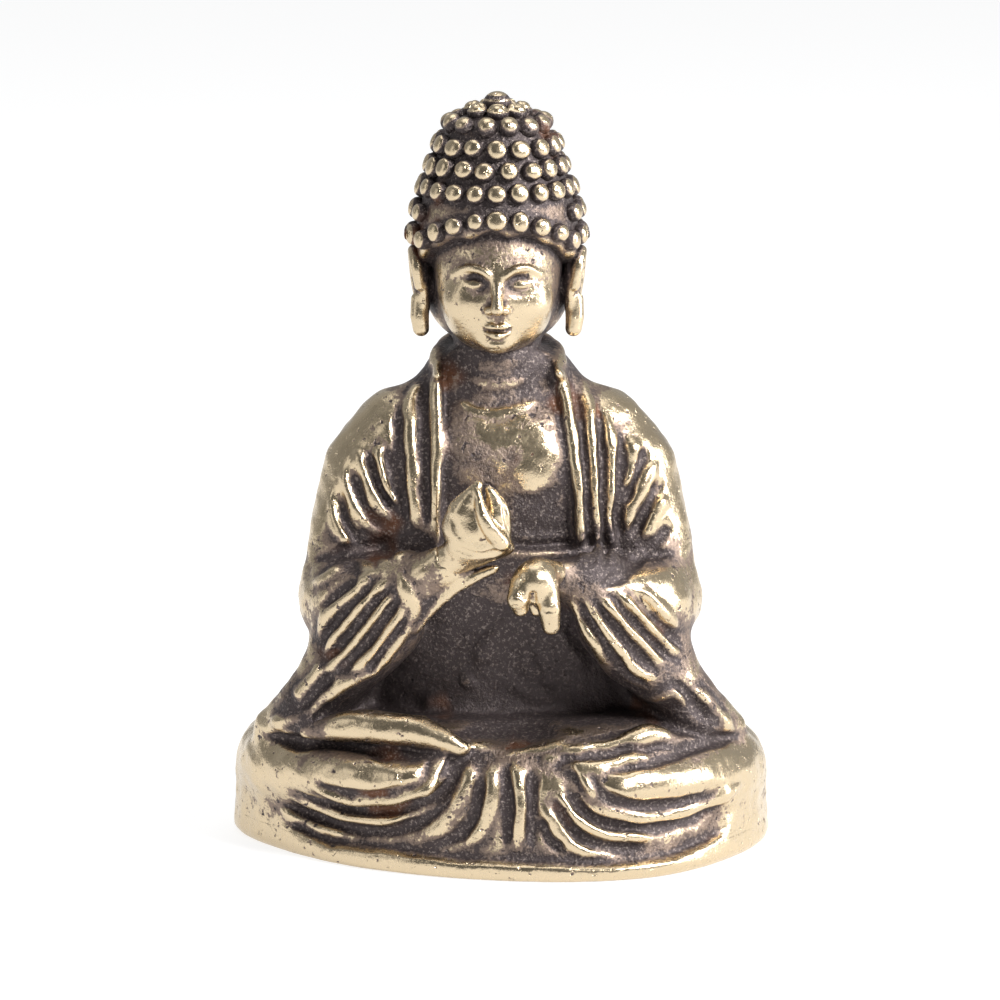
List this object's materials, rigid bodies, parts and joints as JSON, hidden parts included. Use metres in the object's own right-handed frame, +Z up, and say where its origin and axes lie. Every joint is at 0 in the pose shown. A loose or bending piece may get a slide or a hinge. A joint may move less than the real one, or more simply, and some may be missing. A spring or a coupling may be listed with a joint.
{
  "type": "seated buddha statue",
  "caption": "Small seated brass figure in robes with crossed legs, hands raised before the chest, beaded hair curls and a flat oval base.",
  "frame": {"origin": "centre of the footprint's bounding box, on the surface the statue stands on", "axes": "+Z up, -Y the way the figure faces, +X towards the figure's left hand"},
  "size_m": [0.0301, 0.0207, 0.042],
  "materials": {
    "brass_base": "polished rim with dark patina in the recesses",
    "brass_robe": "antiqued: polished folds, brown-black recesses",
    "brass_skin": "antiqued, softly polished",
    "brass_hair": "antiqued: polished bead tops, dark between"
  },
  "bodies": {
    "root": {"base_plate": "brass_base", "base_rim": "brass_base", "crown_bead": "brass_hair", "curl_ring_1": "brass_hair", "curl_ring_2": "brass_hair", "curl_ring_3": "brass_hair", "curl_ring_4": "brass_hair", "curl_ring_5": "brass_hair", "curl_ring_6": "brass_hair", "curl_ring_7": "brass_hair", "curl_ring_8": "brass_hair", "curl_ring_9": "brass_hair", "front_drape": "brass_robe", "hair_cap": "brass_hair", "hairline_curls": "brass_hair", "head": "brass_skin", "left_ear": "brass_skin", "left_hand": "brass_skin", "left_lapel": "brass_robe", "left_leg": "brass_robe", "left_sleeve": "brass_robe", "left_sleeve_hem": "brass_robe", "outer_robe": "brass_robe", "rear_skirt": "brass_robe", "right_ear": "brass_skin", "right_hand": "brass_skin", "right_lapel": "brass_robe", "right_leg": "brass_robe", "right_sleeve": "brass_robe", "right_sleeve_hem": "brass_robe", "torso": "brass_robe", "under_robe": "brass_robe"}
  },
  "joints": []
}
